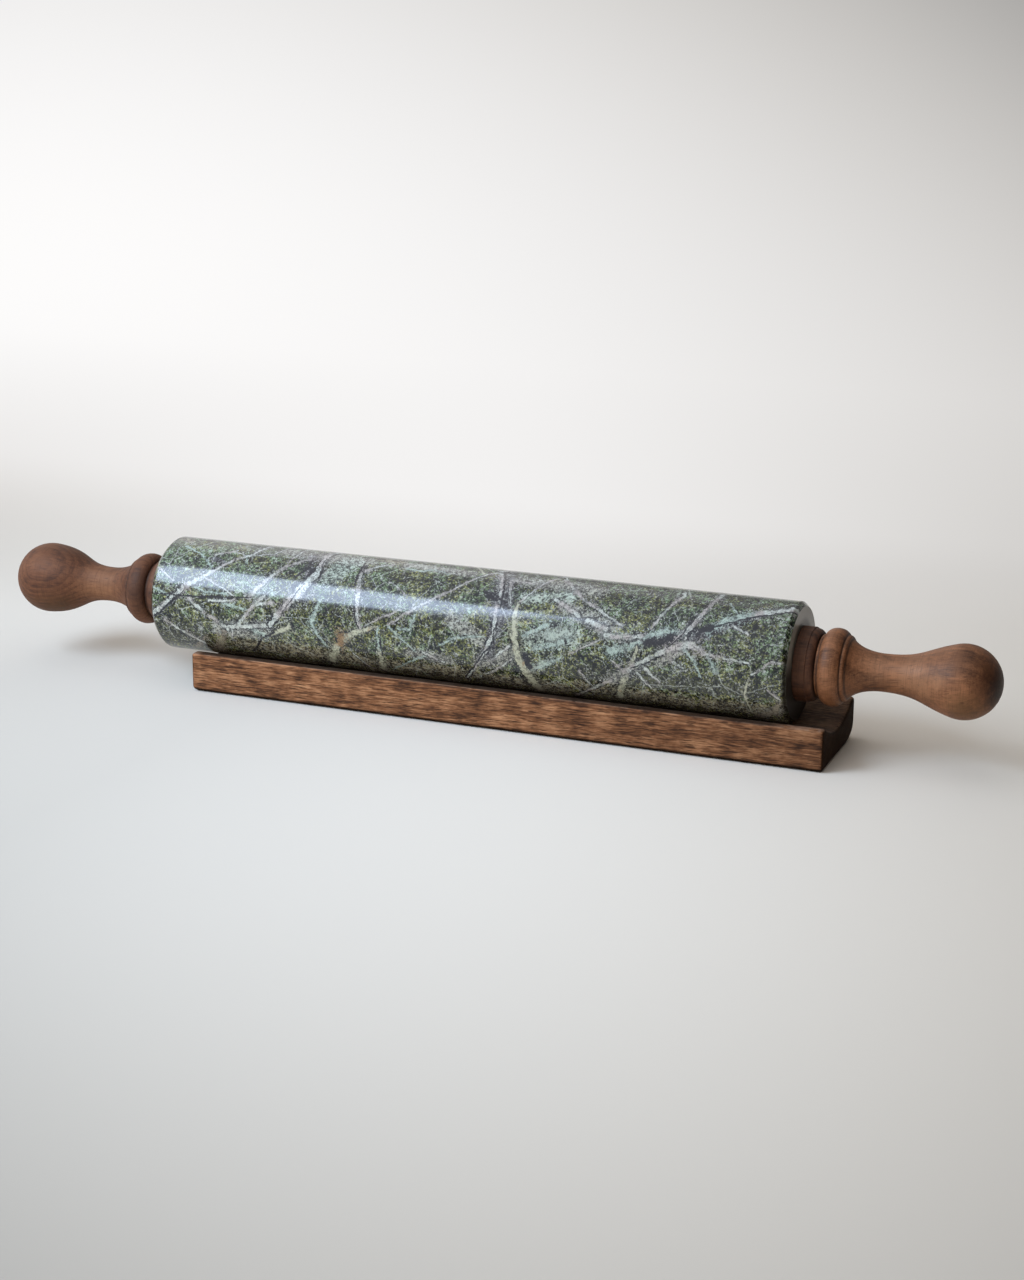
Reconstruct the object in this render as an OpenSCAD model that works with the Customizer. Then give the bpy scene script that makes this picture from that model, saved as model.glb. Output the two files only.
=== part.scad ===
// Marble rolling pin lying in its wooden cradle.
// +X runs along the pin, +Z is up. The origin is on the table, under the middle of the barrel.

/* [Barrel] */
// Diameter of the marble barrel
barrel_d = 50.8; // [44:0.2:70]
// Length of the marble barrel
barrel_l = 292; // [240:1:400]
// Bevel on the barrel's two rims
barrel_bevel = 1.8; // [0.6:0.1:4]
// Hole drilled through the marble, clear of the rod
barrel_bore_d = 12; // [10:0.5:14]

/* [Rod] */
// Diameter of the steel rod where the bushes run on it
rod_d = 8; // [7:0.1:9]
// Diameter of the rod's threaded ends
thread_d = 6; // [4:0.1:6.5]
// How far the threaded end reaches into the brass insert
thread_grip = 12; // [6:0.5:14]

/* [Bushes] */
// Outside diameter of the bush
bush_d = 16; // [15:0.2:20]
// Depth of the bush's seat in the marble
bush_seat = 20; // [8:1:40]
// Radial running gap between the rod and the bush
running_gap = 0.06; // [0.02:0.01:0.1]
// Gap between the bush's end and the washer
end_float = 0.2; // [0.1:0.05:0.3]

/* [Collars] */
// Diameter of the collar's flat rim
collar_d = 31.2; // [28:0.2:40]
// Width of the collar from the marble to its outer face
collar_w = 8.4; // [7:0.1:14]
// Width of the collar's flat rim
collar_rim_w = 5.3; // [2:0.1:6]
// Step down behind the collar's rim
collar_step = 0.4; // [0.2:0.1:1]

/* [Washers and nuts] */
// Diameter of the thrust washer
washer_d = 18; // [17:0.2:21]
// Thickness of the thrust washer
washer_t = 1.2; // [0.8:0.1:2]
// Width of the lock nut across its flats
nut_af = 10; // [9.6:0.1:11]
// Thickness of the lock nut
nut_t = 3.2; // [2:0.1:4]

/* [Inserts] */
// Outside diameter of the brass insert
insert_d = 10; // [8.4:0.1:11]
// Length of the brass insert
insert_l = 15; // [14.5:0.5:18]

/* [Handles] */
// From the marble's end face to the tip of the knob
handle_reach = 82.6; // [78:0.1:110]
// Gap between the collar and the handle, at the bottom of the V groove
groove_gap = 0.3; // [0.2:0.05:0.6]
// Diameter at the bottom of the V groove
groove_d = 25.8; // [23:0.2:27]
// Diameter over the bead
bead_d = 32.2; // [29:0.2:40]
// From the marble's end face to the middle of the bead
bead_s = 14.5; // [14:0.1:17]
// Width of the bead
bead_w = 9.2; // [6:0.1:10]
// Diameter of the sharp ridge behind the bead
ridge_d = 27.4; // [27:0.1:28.6]
// Width of the ridge, which rounds over into the flare
ridge_w = 1.6; // [0.8:0.1:2.4]
// Drop of the ridge's rounding
ridge_drop = 1.2; // [0.4:0.1:2]
// Diameter of the neck at its thinnest
neck_d = 15.6; // [15:0.1:20]
// From the marble's end face to the thinnest point of the neck
neck_s = 34.6; // [32:0.1:38]
// Slope of the flare below the ridge
flare_slope = 50; // [30:1:70]
// Pull of the flare's curve at the ridge
flare_pull_ridge = 2.9; // [2:0.1:6]
// Pull of the flare's curve at the neck
flare_pull_neck = 7.5; // [4:0.1:10]

/* [Left knob] */
// Diameter of the left knob
left_knob_d = 32; // [26:0.2:40]
// How far round from the axis the left knob stays a true ball
left_ball_turn = 94; // [80:1:110]
// Pull of the left shoulder's curve at the knob
left_pull_knob = 16.7; // [6:0.1:20]
// Pull of the left shoulder's curve at the neck
left_pull_neck = 15.4; // [6:0.1:20]

/* [Right knob] */
// Diameter of the right knob
right_knob_d = 30.8; // [26:0.2:40]
// How far round from the axis the right knob stays a true ball
right_ball_turn = 105; // [80:1:110]
// Pull of the right shoulder's curve at the knob
right_pull_knob = 13.2; // [6:0.1:20]
// Pull of the right shoulder's curve at the neck
right_pull_neck = 15.2; // [6:0.1:20]

/* [Cradle] */
// Length of the cradle along the pin
cradle_l = 288; // [200:1:360]
// Width of the cradle
cradle_w = 53; // [50:0.5:80]
// Height of the cradle at its rims
cradle_h = 17.6; // [15:0.1:30]
// How far the cradle's middle lies to the right of the barrel's middle
cradle_shift = 19.2; // [0:0.1:30]
// Radius of the trough
trough_r = 44; // [36:0.5:60]
// Depth of the trough below the rims
trough_depth = 6; // [3:0.1:7]
// Gap that the barrel is drawn clear of the trough
rest_gap = 0.2; // [0.1:0.05:0.3]
// How far the worn far bottom edge reaches under the block
cradle_worn_w = 13; // [4:0.5:20]
// How far the worn far bottom edge reaches up the far side
cradle_worn_h = 5.6; // [2:0.1:8]
// Rounding of the bottom edge at the left end
cradle_left_r = 2.2; // [0.6:0.1:6]
// Rounding of the other edges
cradle_edge_r = 1.2; // [0.6:0.1:3]

/* [Hidden] */
$fn = 96;

LEFT = -1;
RIGHT = 1;
CURVE_STEPS = 14;
BALL_STEP = 6;
CLEAR = 0.2;
NUT_ROOM = 0.6;
BORE_END_ROOM = 1.5;
CUT = 0.01;
HEX = 6;
MARBLE_COLOUR = "#5f6d58";
WOOD_COLOUR = "#6b4430";
CRADLE_COLOUR = "#7a523b";
STEEL_COLOUR = "#b9bcc0";
BRASS_COLOUR = "#c2a15a";
NYLON_COLOUR = "#e6e3da";

// Stations along each end, counted outwards from the marble's end face
washer_s = collar_w + end_float;
nut_s = washer_s + washer_t;
insert_s = nut_s + nut_t;
insert_end_s = insert_s + insert_l;
thread_end_s = insert_s + thread_grip;
handle_face_s = collar_w + groove_gap;
bead_end_s = bead_s + bead_w / 2;

axis_z = cradle_h - trough_depth + rest_gap + barrel_d / 2;
nut_corner_d = nut_af / cos(180 / HEX);

// A point on a cubic curve with end points a, d and control points b, c
function curve_point(a, b, c, d, t) =
    pow(1 - t, 3) * a + 3 * pow(1 - t, 2) * t * b + 3 * (1 - t) * t * t * c + pow(t, 3) * d;

// The curve's points, without its first one
function curve(a, b, c, d) =
    [for (i = [1:CURVE_STEPS]) curve_point(a, b, c, d, i / CURVE_STEPS)];

// Ball of the knob from its tip round to where the shoulder begins, as [station, radius]
function ball(knob_d, turn) =
    let (r = knob_d / 2, middle = handle_reach - r, steps = ceil(turn / BALL_STEP))
    [for (i = [0:steps]) [middle + r * cos(turn * i / steps), r * sin(turn * i / steps)]];

// Half round bead from its outer foot to its inner foot
function bead() =
    let (steps = 2 * CURVE_STEPS, r = groove_d / 2, rise = (bead_d - groove_d) / 2)
    [for (i = [0:steps]) let (a = 180 * i / steps) [bead_s + bead_w / 2 * cos(a), r + rise * sin(a)]];

// The ridge, rounded over on its outer side, up to its sharp edge beside the bead
function ridge() =
    let (steps = CURVE_STEPS / 2, r = ridge_d / 2)
    [for (i = [1:steps])
        let (a = 90 * i / steps)
        [bead_end_s + ridge_w * cos(a), r - ridge_drop + ridge_drop * sin(a)]];

// Turned outline of a handle, from the tip of the knob to the face beside the collar
function handle_outline(knob_d, turn, pull_knob, pull_neck) =
    let (
        knob = ball(knob_d, turn),
        shoulder = knob[len(knob) - 1],
        neck = [neck_s, neck_d / 2],
        flare = [bead_end_s + ridge_w, ridge_d / 2 - ridge_drop]
    )
    concat(
        knob,
        curve(
            shoulder,
            shoulder + pull_knob * [-sin(turn), cos(turn)],
            neck + [pull_neck, 0],
            neck
        ),
        curve(
            neck,
            neck - [flare_pull_neck, 0],
            flare + flare_pull_ridge * [cos(flare_slope), -sin(flare_slope)],
            flare
        ),
        ridge(),
        bead(),
        [[handle_face_s, groove_d / 2], [handle_face_s, 0]]
    );

// Outline of a collar: flat rim, small step, then a quarter round down to the groove
function collar_outline() =
    let (
        foot = groove_d / 2,
        shoulder_r = collar_d / 2 - collar_step,
        round_w = collar_w - collar_rim_w
    )
    concat(
        [[0, bush_d / 2], [0, collar_d / 2], [collar_rim_w, collar_d / 2]],
        [for (i = [0:CURVE_STEPS])
            let (a = 90 * i / CURVE_STEPS)
            [collar_rim_w + round_w * sin(a), foot + (shoulder_r - foot) * cos(a)]],
        [[collar_w, bush_d / 2]]
    );

// Stands something turned about Z, with its stations along +Z, at one end of the barrel
module at_end(side) {
    translate([side * barrel_l / 2, 0, axis_z])
        rotate([0, side * 90, 0])
            children();
}

// A ring between two stations
module ring(outer_d, bore_d, from_s, to_s) {
    translate([0, 0, from_s])
        difference() {
            cylinder(d = outer_d, h = to_s - from_s);
            translate([0, 0, -CUT])
                cylinder(d = bore_d, h = to_s - from_s + 2 * CUT);
        }
}

// Turns an outline of [station, radius] points about the axis
module turned(outline) {
    rotate_extrude()
        polygon([for (p = outline) [p[1], p[0]]]);
}

module marble_barrel() {
    bevel_r = barrel_d / 2 - barrel_bevel;
    bore_r = barrel_bore_d / 2;
    color(MARBLE_COLOUR)
        translate([-barrel_l / 2, 0, axis_z])
            rotate([0, 90, 0])
                turned([
                    [0, bush_d / 2],
                    [0, bevel_r],
                    [barrel_bevel, barrel_d / 2],
                    [barrel_l - barrel_bevel, barrel_d / 2],
                    [barrel_l, bevel_r],
                    [barrel_l, bush_d / 2],
                    [barrel_l - bush_seat, bush_d / 2],
                    [barrel_l - bush_seat, bore_r],
                    [bush_seat, bore_r],
                    [bush_seat, bush_d / 2]
                ]);
}

// Ground steel rod whose shoulders stop the washers, with a threaded end for each handle
module axle_rod() {
    shoulder_l = barrel_l + 2 * washer_s;
    thread_l = barrel_l + 2 * thread_end_s;
    color(STEEL_COLOUR)
        translate([0, 0, axis_z])
            rotate([0, 90, 0])
                union() {
                    cylinder(d = rod_d, h = shoulder_l, center = true);
                    cylinder(d = thread_d, h = thread_l, center = true);
                }
}

module bush(side) {
    color(NYLON_COLOUR)
        at_end(side)
            ring(bush_d, rod_d + 2 * running_gap, -bush_seat, collar_w);
}

module collar(side) {
    color(WOOD_COLOUR)
        at_end(side)
            turned(collar_outline());
}

module washer(side) {
    color(STEEL_COLOUR)
        at_end(side)
            ring(washer_d, thread_d, washer_s, nut_s);
}

module lock_nut(side) {
    color(STEEL_COLOUR)
        at_end(side)
            translate([0, 0, nut_s])
                difference() {
                    cylinder(d = nut_corner_d, h = nut_t, $fn = HEX);
                    translate([0, 0, -CUT])
                        cylinder(d = thread_d, h = nut_t + 2 * CUT);
                }
}

module thread_insert(side) {
    color(BRASS_COLOUR)
        at_end(side)
            ring(insert_d, thread_d, insert_s, insert_end_s);
}

// The handle is hollow where the washer, the nut, the insert and the rod's end go
module handle(side, knob_d, turn, pull_knob, pull_neck) {
    color(WOOD_COLOUR)
        at_end(side)
            difference() {
                turned(handle_outline(knob_d, turn, pull_knob, pull_neck));
                translate([0, 0, handle_face_s - CUT])
                    cylinder(d = washer_d + 2 * CLEAR, h = nut_s - handle_face_s + CLEAR + CUT);
                translate([0, 0, nut_s])
                    cylinder(d = nut_corner_d + 2 * NUT_ROOM, h = nut_t);
                translate([0, 0, insert_s - CUT])
                    cylinder(d = insert_d, h = insert_l + CUT);
                translate([0, 0, insert_end_s - CUT])
                    cylinder(d = thread_d, h = BORE_END_ROOM + CUT);
            }
}

// A bar from corner a to corner b with its own rounding on each corner of its outline,
// given as [low x low y, high x low y, high x high y, low x high y]
module rounded_plate(a, b, radii) {
    corners = [[a[0], a[1]], [b[0], a[1]], [b[0], b[1]], [a[0], b[1]]];
    inward = [[1, 1], [-1, 1], [-1, -1], [1, -1]];
    difference() {
        translate(a)
            square(b - a);
        for (i = [0:3])
            translate(corners[i])
                difference() {
                    translate(-CUT * inward[i])
                        mirror([inward[i][0] < 0 ? 1 : 0, 0])
                            mirror([0, inward[i][1] < 0 ? 1 : 0])
                                square(radii[i] + CUT);
                    translate(radii[i] * inward[i])
                        circle(r = radii[i]);
                }
    }
}

// What wear has taken off a square corner at the origin, w wide and h high, as an oval round
module worn_off(w, h) {
    polygon(concat(
        [[CUT, -CUT], [CUT, h]],
        [for (i = [0:CURVE_STEPS])
            let (a = 90 * i / CURVE_STEPS)
            [w * (cos(a) - 1), h * (1 - sin(a))]],
        [[-w, -CUT]]
    ));
}

// Long block with a round trough; its far bottom edge is worn into an oval round
module cradle() {
    x0 = cradle_shift - cradle_l / 2;
    x1 = cradle_shift + cradle_l / 2;
    half_w = cradle_w / 2;
    edge = cradle_edge_r;
    color(CRADLE_COLOUR)
        difference() {
            intersection() {
                translate([x0, 0, 0])
                    rotate([90, 0, 90])
                        linear_extrude(cradle_l)
                            rounded_plate([-half_w, 0], [half_w, cradle_h], [edge, edge, edge, edge]);
                translate([0, half_w, 0])
                    rotate([90, 0, 0])
                        linear_extrude(cradle_w)
                            rounded_plate([x0, 0], [x1, cradle_h], [cradle_left_r, edge, edge, edge]);
                linear_extrude(cradle_h)
                    rounded_plate([x0, -half_w], [x1, half_w], [edge, edge, edge, edge]);
            }
            translate([x0 - CUT, half_w, 0])
                rotate([90, 0, 90])
                    linear_extrude(cradle_l + 2 * CUT)
                        worn_off(cradle_worn_w, cradle_worn_h);
            translate([x0 - CUT, 0, cradle_h - trough_depth + trough_r])
                rotate([0, 90, 0])
                    cylinder(r = trough_r, h = cradle_l + 2 * CUT);
        }
}

marble_barrel();
axle_rod();
bush(LEFT);  // left_bush
bush(RIGHT);  // right_bush
collar(LEFT);  // left_collar
collar(RIGHT);  // right_collar
washer(LEFT);  // left_washer
washer(RIGHT);  // right_washer
lock_nut(LEFT);  // left_lock_nut
lock_nut(RIGHT);  // right_lock_nut
thread_insert(LEFT);  // left_thread_insert
thread_insert(RIGHT);  // right_thread_insert
handle(LEFT, left_knob_d, left_ball_turn, left_pull_knob, left_pull_neck);  // left_handle
handle(RIGHT, right_knob_d, right_ball_turn, right_pull_knob, right_pull_neck);  // right_handle
cradle();
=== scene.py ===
from functools import partial
from math import cos, pi, radians, sin

import bpy
from mathutils import Matrix, Vector


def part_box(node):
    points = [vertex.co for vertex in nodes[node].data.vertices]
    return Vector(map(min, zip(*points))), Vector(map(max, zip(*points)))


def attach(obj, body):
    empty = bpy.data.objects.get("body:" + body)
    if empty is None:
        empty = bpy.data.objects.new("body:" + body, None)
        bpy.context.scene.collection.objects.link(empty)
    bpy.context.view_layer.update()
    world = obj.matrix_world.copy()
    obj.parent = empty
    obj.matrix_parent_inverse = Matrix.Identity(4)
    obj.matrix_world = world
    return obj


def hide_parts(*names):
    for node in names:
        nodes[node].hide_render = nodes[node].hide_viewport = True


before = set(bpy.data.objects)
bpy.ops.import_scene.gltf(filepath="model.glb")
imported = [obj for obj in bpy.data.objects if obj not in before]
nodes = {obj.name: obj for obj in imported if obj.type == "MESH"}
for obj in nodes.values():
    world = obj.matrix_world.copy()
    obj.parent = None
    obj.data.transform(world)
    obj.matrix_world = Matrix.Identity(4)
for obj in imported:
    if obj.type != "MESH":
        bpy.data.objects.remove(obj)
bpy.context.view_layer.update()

mm = 0.001

# the marble's own box gives the pin's axis, radius and length
barrelLow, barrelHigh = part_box("marble_barrel")
axisHeight = (barrelLow.z + barrelHigh.z) / 2
barrelRadius = (barrelHigh.z - barrelLow.z) / 2
halfLength = barrelHigh.x
cradleLow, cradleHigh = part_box("cradle")


# small helpers for shader trees; place, value, factor and so on may be sockets or plain values

def newNode(tree, kind, **settings):
    made = tree.nodes.new("ShaderNode" + kind)
    for name, value in settings.items():
        setattr(made, name, value)
    return made


def feed(socket, value):
    # a socket is linked, anything else becomes the input's own value
    if isinstance(value, bpy.types.NodeSocket):
        socket.id_data.links.new(value, socket)
    else:
        socket.default_value = value


def addNode(kind, given, **settings):
    # the node goes into the tree of the sockets that feed it, and an input without a value is left alone
    tree = next(value.id_data for value in given.values() if isinstance(value, bpy.types.NodeSocket))
    made = newNode(tree, kind, **settings)
    for key, value in given.items():
        if value is not None:
            feed(made.inputs[key], value)
    return made


def doMath(operation, a, b=None, c=None):
    return addNode("Math", {0: a, 1: b, 2: c}, operation=operation).outputs[0]


plus, minus, times, over = (partial(doMath, name) for name in ("ADD", "SUBTRACT", "MULTIPLY", "DIVIDE"))
smaller, larger, absolute, root = (partial(doMath, name) for name in ("MINIMUM", "MAXIMUM", "ABSOLUTE", "SQRT"))
timesPlus = partial(doMath, "MULTIPLY_ADD")


def distance(a, b):
    return root(plus(times(a, a), times(b, b)))


def doVector(operation, a, b=None, c=None, scale=None):
    made = addNode("VectorMath", {0: a, 1: b, 2: c, "Scale": scale}, operation=operation)
    return made.outputs["Value" if operation in ("DOT_PRODUCT", "LENGTH") else "Vector"]


def drifted(place, field, amount):
    # moves the place about by a noise's colour
    shift = doVector("SUBTRACT", field, (0.5, 0.5, 0.5))
    return doVector("ADD", place, doVector("SCALE", shift, scale=amount))


def spread(value, low, high, toLow=0.0, toHigh=1.0, soft=True):
    given = {"Value": value, "From Min": low, "From Max": high, "To Min": toLow, "To Max": toHigh}
    made = addNode("MapRange", given, interpolation_type="SMOOTHSTEP" if soft else "LINEAR")
    return made.outputs["Result"]


def mixColour(factor, a, b, blend="MIX"):
    a, b = (value if isinstance(value, bpy.types.NodeSocket) else (*value, 1) for value in (a, b))
    return addNode("Mix", {0: factor, 6: a, 7: b}, data_type="RGBA", blend_type=blend).outputs[2]


def mixValue(factor, a, b):
    return addNode("Mix", {0: factor, 2: a, 3: b}, data_type="FLOAT").outputs[0]


def mixVector(factor, a, b):
    return addNode("Mix", {0: factor, 4: a, 5: b}, data_type="VECTOR").outputs[1]


def ramp(value, stops):
    made = addNode("ValToRGB", {0: value})
    elements = made.color_ramp.elements
    while len(elements) < len(stops):
        elements.new(0.5)
    for element, (place, colour) in zip(elements, stops):
        element.position = place
        element.color = (*colour, 1)
    return made.outputs["Color"]


def noise(vector, size, detail=3.0, roughness=0.55, distortion=0.0, output="Fac"):
    # size is about the width of one blotch, in metres
    given = {"Vector": vector, "Scale": 1 / size, "Detail": detail, "Roughness": roughness,
             "Distortion": distortion}
    return addNode("TexNoise", given).outputs[output]


def cells(vector, size, feature="F1"):
    return addNode("TexVoronoi", {"Vector": vector, "Scale": 1 / size}, feature=feature).outputs


def splitVector(vector):
    return addNode("SeparateXYZ", {0: vector}).outputs


def joinVector(x, y, z):
    return addNode("CombineXYZ", {0: x, 1: y, 2: z}).outputs[0]


def bump(height, depth, strength):
    given = {"Height": height, "Distance": depth, "Strength": strength}
    return addNode("Bump", given).outputs["Normal"]


def newGroup(name, inputs, outputs):
    group = bpy.data.node_groups.new(name, "ShaderNodeTree")
    for way, sockets in (("INPUT", inputs), ("OUTPUT", outputs)):
        for label, kind in sockets.items():
            group.interface.new_socket(name=label, in_out=way, socket_type="NodeSocket" + kind)
    return group, group.nodes.new("NodeGroupInput").outputs, group.nodes.new("NodeGroupOutput").inputs


def useGroup(group, **values):
    return addNode("Group", values, node_tree=group).outputs


def feedAll(inputs, **values):
    for label, value in values.items():
        feed(inputs[label.replace("_", " ")], value)


def newMaterial(name, **plain):
    # gives the material, its shader's inputs and the place on the piece
    material = bpy.data.materials.new(name)
    material.use_nodes = True
    shader = material.node_tree.nodes["Principled BSDF"].inputs
    feedAll(shader, **plain)
    return material, shader, newNode(material.node_tree, "TexCoord").outputs["Object"]


def centred(place, x=0.0, y=0.0, z=axisHeight, turn=(0.0, 0.0, 0.0), stretch=(1.0, 1.0, 1.0)):
    # moves the pattern's own centre to x, y, z, then turns and stretches it
    moved = addNode("Mapping", {"Vector": place, "Location": (-x, -y, -z)}).outputs[0]
    turn = [radians(angle) for angle in turn]
    return addNode("Mapping", {"Vector": moved, "Rotation": turn, "Scale": stretch}).outputs[0]


# modelling helpers

def openEdit(mode="VERT"):
    bpy.ops.object.mode_set(mode="EDIT")
    bpy.ops.mesh.select_mode(type=mode)


def closeEdit():
    bpy.ops.mesh.select_all(action="SELECT")
    bpy.ops.mesh.remove_doubles(threshold=0.002 * mm)
    bpy.ops.mesh.normals_make_consistent(inside=False)
    bpy.ops.object.mode_set(mode="OBJECT")


def selectEdges(piece, wanted):
    # selects the edges whose two ends are both wanted, and stays in edit mode
    bpy.ops.object.mode_set(mode="OBJECT")
    for item in (*piece.data.vertices, *piece.data.edges, *piece.data.polygons):
        item.select = False
    for edge in piece.data.edges:
        edge.select = all(wanted(piece.data.vertices[index].co) for index in edge.vertices)
    openEdit("EDGE")


def turnOnLathe(name, outline, steps):
    # outline is a list of (x, radius) in mm; the pen runs along it, then it spins about the pin's axis
    bpy.ops.object.select_all(action="DESELECT")
    bpy.ops.mesh.primitive_plane_add(size=mm, location=(0, 0, 0))
    piece = bpy.context.object
    piece.name = piece.data.name = name
    openEdit()
    bpy.ops.mesh.select_all(action="SELECT")
    bpy.ops.mesh.merge(type="CENTER")
    pen = Vector((0, 0, 0))
    for index, (x, radius) in enumerate(outline):
        target = Vector((x * mm, 0, axisHeight + radius * mm))
        step = {"value": target - pen}
        if index == 0:
            bpy.ops.transform.translate(**step)
        else:
            bpy.ops.mesh.extrude_region_move(TRANSFORM_OT_translate=step)
        pen = target
    bpy.ops.mesh.select_all(action="SELECT")
    bpy.ops.mesh.spin(steps=steps, angle=2 * pi, center=(0, 0, axisHeight), axis=(1, 0, 0))
    closeEdit()
    return piece


def smooth(piece, degrees):
    bpy.ops.object.select_all(action="DESELECT")
    piece.select_set(True)
    bpy.context.view_layer.objects.active = piece
    bpy.ops.object.shade_smooth_by_angle(angle=radians(degrees))


def finishPiece(piece, node, body, material):
    piece.data.materials.clear()
    piece.data.materials.append(material)
    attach(piece, body)
    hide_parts(node)
    print("made", piece.name, len(piece.data.polygons), "faces")


def finishNode(name, material):
    nodes[name].data.materials.clear()
    nodes[name].data.materials.append(material)


# camera, where the photograph was taken from

view = {
    "place": (0.3667, -0.8739, 0.2987),
    "turn": 21.74,
    "down": 15.79,
    "roll": 0.46,
    "lens": 63.8,
}

turn, tilt, roll = (Matrix.Rotation(radians(angle), 3, axis) for angle, axis in (
    (view["turn"], "Z"), (90 - view["down"], "X"), (view["roll"], "Z")))
camera = bpy.data.objects.new("camera", bpy.data.cameras.new("camera"))
camera.location = view["place"]
camera.rotation_euler = (turn @ tilt @ roll).to_euler()
camera.data.lens = view["lens"]
camera.data.sensor_width = 36
camera.data.clip_start = 0.02
bpy.context.scene.collection.objects.link(camera)
bpy.context.scene.camera = camera
print("camera set")


# floor, backdrop and studio light

studio = {
    "floorHalf": 3.0,
    "bendStart": 0.9,
    "bendRadius": 0.9,
    "wallTop": 3.0,
    "keyPlace": (-0.38, -0.405, 0.472),
    "keySize": (0.36, 0.33),
    "keyPower": 3.9,
    "keyColour": (0.74, 0.87, 1.0),
    "brightSide": (-0.78, -0.30, 0.55),
    "brightLevel": 1.18,
    "darkLevel": 0.02,
    "brightColour": (0.97, 0.95, 0.93),
    "darkColour": (1.0, 0.90, 0.76),
    "bounce": (0.95, 0.86, 0.70),
    "bounceDark": 0.18,
    "backColour": (0.80, 0.80, 0.79),
    "topGlow": 1.25,
}

# The floor is painted palest in two pools of light: a wide one far back and a small one before the cradle.
# Each has its middle and half widths in metres and its turn in degrees.
farLightPool = {"middle": (-1.03, 1.27), "turn": -40.9, "long": 2.365, "wide": 1.494, "level": 0.971}
nearLightPool = {"middle": (0.116, -0.302), "turn": 23.3, "long": 0.284, "wide": 0.775, "level": 0.452}
floorTone = {"deepest": 0.30, "palest": 0.97, "warm": (1.034, 1.005, 0.970), "cool": (1.010, 1.000, 0.996),
             "leanAcross": 1.14, "leanAway": 0.18, "leanLevel": -0.045, "farLevel": 0.97,
             "nearTint": (0.995, 0.99, 0.982)}


def poolReach(skin, pool):
    # squared distance from the pool's middle, in its own half widths
    offset = doVector("SUBTRACT", skin, (*pool["middle"], 0))
    angle = radians(pool["turn"])
    long = Vector((cos(angle), sin(angle), 0)) / pool["long"]
    wide = Vector((-sin(angle), cos(angle), 0)) / pool["wide"]
    across = doVector("DOT_PRODUCT", offset, wide)
    along = doVector("DOT_PRODUCT", offset, long)
    return timesPlus(across, across, times(along, along))


def buildFloor():
    bpy.ops.object.select_all(action="DESELECT")
    bpy.ops.mesh.primitive_plane_add(size=2 * studio["floorHalf"], location=(0, 0, -0.1 * mm))
    floor = bpy.context.object
    floor.name = "floor"
    selectEdges(floor, lambda at: at.y > 0)
    bpy.ops.transform.translate(value=(0, studio["bendStart"] - studio["floorHalf"], 0))
    steps = 16
    last = Vector((0, 0, 0))
    for index in range(1, steps + 1):
        angle = pi / 2 * index / steps
        point = studio["bendRadius"] * Vector((0, sin(angle), 1 - cos(angle)))
        bpy.ops.mesh.extrude_region_move(TRANSFORM_OT_translate={"value": point - last})
        last = point
    bpy.ops.mesh.extrude_region_move(TRANSFORM_OT_translate={"value": (0, 0, studio["wallTop"] - last.z)})
    closeEdit()
    smooth(floor, 30)

    material, shader, place = newMaterial("paleFloor", Roughness=0.7, Specular_IOR_Level=0.2)
    x, y, z = splitVector(place)
    away = plus(y, z)
    skin = joinVector(x, away, 0.0)
    far = minus(farLightPool["level"], poolReach(skin, farLightPool))
    near = doMath("EXPONENT", times(poolReach(skin, nearLightPool), -1.0))
    level = timesPlus(near, nearLightPool["level"], far)
    level = larger(smaller(level, floorTone["palest"]), floorTone["deepest"])
    tint = mixColour(spread(level, 0.5, 0.95), floorTone["warm"], floorTone["cool"])
    # high on the left, beyond the picture's edge, the backdrop has a painted glow that only reflections see,
    # which shines in the marble's top
    rays = newNode(material.node_tree, "LightPath").outputs
    glow = times(times(spread(away, 2.1, 3.2), spread(x, -0.2, -1.0)), rays["Is Glossy Ray"])
    level = timesPlus(glow, studio["topGlow"], level)
    shade = mixColour(1.0, tint, joinVector(level, level, level), "MULTIPLY")
    # the eye and reflections see the backdrop as pale as it is, and its far part needs no lamp
    seen = larger(larger(rays["Is Camera Ray"], rays["Is Glossy Ray"]), rays["Is Transmission Ray"])
    backdrop = spread(away, 0.10, 0.42)
    # the near floor is painted paler away from the lamp, which evens out its fall-off
    lean = timesPlus(y, floorTone["leanAway"], floorTone["leanLevel"])
    lean = timesPlus(larger(x, -0.10), floorTone["leanAcross"], lean)
    fade = spread(timesPlus(x, -0.8, y), 0.12, 0.30, 1.0, 0.0)
    lean = doMath("EXPONENT", times(lean, fade))
    paint = doVector("MULTIPLY", doVector("SCALE", shade, scale=lean), floorTone["nearTint"])
    paint = mixColour(backdrop, paint, (0, 0, 0))
    # less light is thrown back up on the dark side
    dim = mixColour(spread(x, 0.05, 0.5, 1.0, studio["bounceDark"]), (0, 0, 0), studio["bounce"])
    feedAll(shader, Base_Color=mixColour(seen, dim, paint), Emission_Color=shade,
            Emission_Strength=times(times(backdrop, seen), floorTone["farLevel"]),
            Normal=bump(noise(place, 1.6 * mm, 2), 0.05 * mm, 0.3))
    floor.data.materials.append(material)


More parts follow.
